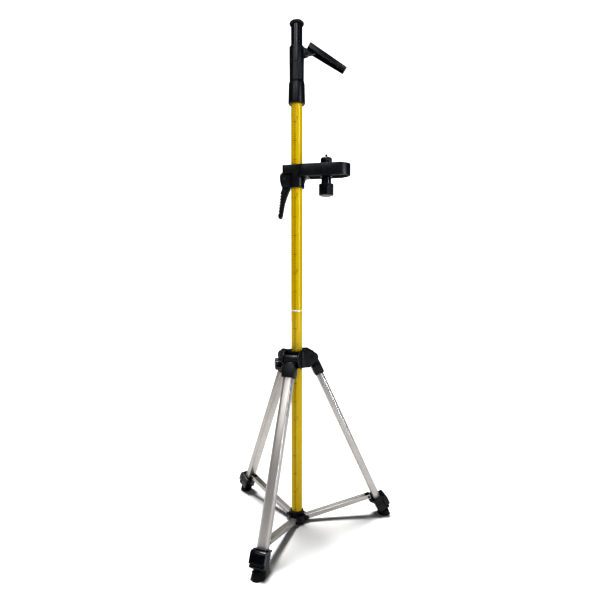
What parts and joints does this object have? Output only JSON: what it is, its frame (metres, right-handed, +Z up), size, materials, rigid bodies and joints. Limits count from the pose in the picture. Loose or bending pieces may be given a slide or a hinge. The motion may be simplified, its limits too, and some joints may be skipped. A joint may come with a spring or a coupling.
{
  "type": "laser level pole tripod",
  "caption": "Graduated yellow levelling pole on a folding braced tripod, with a sliding cam-clamp instrument bracket and a lever-locked extending head.",
  "frame": {"origin": "on the floor, on the pole's axis, just under the base hub", "axes": "+Z up the pole; +X along leg 1, with legs 2 and 3 at 120 and 240 degrees counter-clockwise seen from above"},
  "size_m": [0.423, 0.4808, 1.3576],
  "materials": {
    "yellow_paint": "gloss yellow powder coat with a printed dark scale",
    "satin_aluminium": "satin anodised",
    "black_plastic": "moulded, semi-matt black",
    "rubber": "matt black",
    "dark_steel": "blackened"
  },
  "bodies": {
    "pole": {"pole_lower": "yellow_paint", "pole_joint_ring": "satin_aluminium", "pole_upper": "yellow_paint", "base_hub": "black_plastic", "hub_pin_1": "dark_steel", "hub_pin_2": "dark_steel", "hub_pin_3": "dark_steel", "head_collar": "black_plastic", "head_sleeve": "black_plastic", "top_lever_pin": "dark_steel"},
    "crown": {"crown": "black_plastic"},
    "crown_knob": {"crown_knob": "black_plastic", "crown_screw": "dark_steel"},
    "arm_1": {"spreader_arm_1": "satin_aluminium"},
    "leg_1": {"leg_tube_1": "satin_aluminium", "leg_knuckle_1": "black_plastic", "knuckle_pin_1": "dark_steel", "leg_clamp_1": "black_plastic", "latch_pin_1": "dark_steel", "arm_pin_1": "dark_steel"},
    "lower_leg_1": {"inner_leg_1": "satin_aluminium", "foot_1": "rubber"},
    "latch_1": {"latch_lever_1": "black_plastic"},
    "arm_2": {"spreader_arm_2": "satin_aluminium"},
    "leg_2": {"leg_tube_2": "satin_aluminium", "leg_knuckle_2": "black_plastic", "knuckle_pin_2": "dark_steel", "leg_clamp_2": "black_plastic", "latch_pin_2": "dark_steel", "arm_pin_2": "dark_steel"},
    "lower_leg_2": {"inner_leg_2": "satin_aluminium", "foot_2": "rubber"},
    "latch_2": {"latch_lever_2": "black_plastic"},
    "arm_3": {"spreader_arm_3": "satin_aluminium"},
    "leg_3": {"leg_tube_3": "satin_aluminium", "leg_knuckle_3": "black_plastic", "knuckle_pin_3": "dark_steel", "leg_clamp_3": "black_plastic", "latch_pin_3": "dark_steel", "arm_pin_3": "dark_steel"},
    "lower_leg_3": {"inner_leg_3": "satin_aluminium", "foot_3": "rubber"},
    "latch_3": {"latch_lever_3": "black_plastic"},
    "plunger": {"plunger_tube": "black_plastic", "top_cap": "rubber"},
    "top_lever": {"top_lever": "black_plastic"},
    "bracket_bush": {"bracket_bush": "black_plastic"},
    "bracket": {"bracket_body": "black_plastic", "cam_pin": "dark_steel"},
    "clamp_jaw": {"clamp_jaw": "black_plastic"},
    "cam_lever": {"cam_lever": "black_plastic"},
    "mount_knob": {"mount_knob": "black_plastic", "mount_screw": "dark_steel"},
    "lock_ring": {"lock_ring": "black_plastic"}
  },
  "joints": [
    {"name": "crown_slide", "type": "slide", "parent": "pole", "child": "crown", "axis": [0, 0, 1], "range_m": [0, 0.1763]},
    {"name": "crown_knob_turn", "type": "hinge", "parent": "crown", "child": "crown_knob", "pos_m": [-0.052, 0, 0.4446], "axis": [-1, 0, 0], "continuous": true},
    {"name": "arm_fold_1", "type": "hinge", "parent": "pole", "child": "arm_1", "pos_m": [0.026, 0, 0.013], "axis": [0, -1, 0], "range_deg": [0, 75.82]},
    {"name": "leg_fold_1", "type": "hinge", "parent": "arm_1", "child": "leg_1", "pos_m": [0.20703, 0, 0.05505], "axis": [0, -1, 0], "range_deg": [-99.32, 0]},
    {"name": "leg_extend_1", "type": "slide", "parent": "leg_1", "child": "lower_leg_1", "axis": [0.421, 0, -0.907], "range_m": [0, 0.28]},
    {"name": "latch_flip_1", "type": "hinge", "parent": "leg_1", "child": "latch_1", "pos_m": [0.26042, 0, 0.02791], "axis": [0, 1, 0], "range_deg": [0, 110]},
    {"name": "arm_fold_2", "type": "hinge", "parent": "pole", "child": "arm_2", "pos_m": [-0.013, 0.02252, 0.013], "axis": [0.866, 0.5, 0], "range_deg": [0, 75.82]},
    {"name": "leg_fold_2", "type": "hinge", "parent": "arm_2", "child": "leg_2", "pos_m": [-0.10352, 0.17929, 0.05505], "axis": [0.866, 0.5, 0], "range_deg": [-99.32, 0]},
    {"name": "leg_extend_2", "type": "slide", "parent": "leg_2", "child": "lower_leg_2", "axis": [-0.2105, 0.3646, -0.907], "range_m": [0, 0.28]},
    {"name": "latch_flip_2", "type": "hinge", "parent": "leg_2", "child": "latch_2", "pos_m": [-0.13021, 0.22553, 0.02791], "axis": [-0.866, -0.5, 0], "range_deg": [0, 110]},
    {"name": "arm_fold_3", "type": "hinge", "parent": "pole", "child": "arm_3", "pos_m": [-0.013, -0.02252, 0.013], "axis": [-0.866, 0.5, 0], "range_deg": [0, 75.82]},
    {"name": "leg_fold_3", "type": "hinge", "parent": "arm_3", "child": "leg_3", "pos_m": [-0.10352, -0.17929, 0.05505], "axis": [-0.866, 0.5, 0], "range_deg": [-99.32, 0]},
    {"name": "leg_extend_3", "type": "slide", "parent": "leg_3", "child": "lower_leg_3", "axis": [-0.2105, -0.3646, -0.907], "range_m": [0, 0.28]},
    {"name": "latch_flip_3", "type": "hinge", "parent": "leg_3", "child": "latch_3", "pos_m": [-0.13021, -0.22553, 0.02791], "axis": [0.866, -0.5, 0], "range_deg": [0, 110]},
    {"name": "plunger_slide", "type": "slide", "parent": "pole", "child": "plunger", "axis": [0, 0, 1], "range_m": [-0.044, 0.04]},
    {"name": "top_lever_swing", "type": "hinge", "parent": "pole", "child": "top_lever", "pos_m": [0.027, 0, 1.275], "axis": [0, 1, 0], "range_deg": [-20, 60]},
    {"name": "bracket_slide", "type": "slide", "parent": "pole", "child": "bracket_bush", "axis": [0, 0, 1], "range_m": [-0.16, 0.135]},
    {"name": "bracket_turn", "type": "hinge", "parent": "bracket_bush", "child": "bracket", "pos_m": [0, 0, 0.96], "axis": [0, 0, 1], "continuous": true},
    {"name": "cam_swing", "type": "hinge", "parent": "bracket", "child": "cam_lever", "pos_m": [-0.03062, 0.01231, 0.943], "axis": [0.373, 0.9278, 0], "range_deg": [0, 90]},
    {"name": "jaw_slide", "type": "slide", "parent": "bracket", "child": "clamp_jaw", "axis": [-0.9278, 0.373, 0], "range_m": [0, 0.001]},
    {"name": "mount_knob_turn", "type": "hinge", "parent": "bracket", "child": "mount_knob", "pos_m": [0.07423, -0.02984, 0.93], "axis": [0, 0, 1], "continuous": true},
    {"name": "lock_ring_turn", "type": "hinge", "parent": "bracket", "child": "lock_ring", "pos_m": [0.07423, -0.02984, 0.985], "axis": [0, 0, 1], "continuous": true}
  ],
  "couplings": [
    {"joint": "arm_fold_1", "follows": "crown_slide", "rad_per_m": 7.4777},
    {"joint": "leg_fold_1", "follows": "crown_slide", "rad_per_m": -9.8048},
    {"joint": "arm_fold_2", "follows": "crown_slide", "rad_per_m": 7.4777},
    {"joint": "leg_fold_2", "follows": "crown_slide", "rad_per_m": -9.8048},
    {"joint": "arm_fold_3", "follows": "crown_slide", "rad_per_m": 7.4777},
    {"joint": "leg_fold_3", "follows": "crown_slide", "rad_per_m": -9.8048},
    {"joint": "jaw_slide", "follows": "cam_swing", "m_per_rad": 0.0005093}
  ]
}
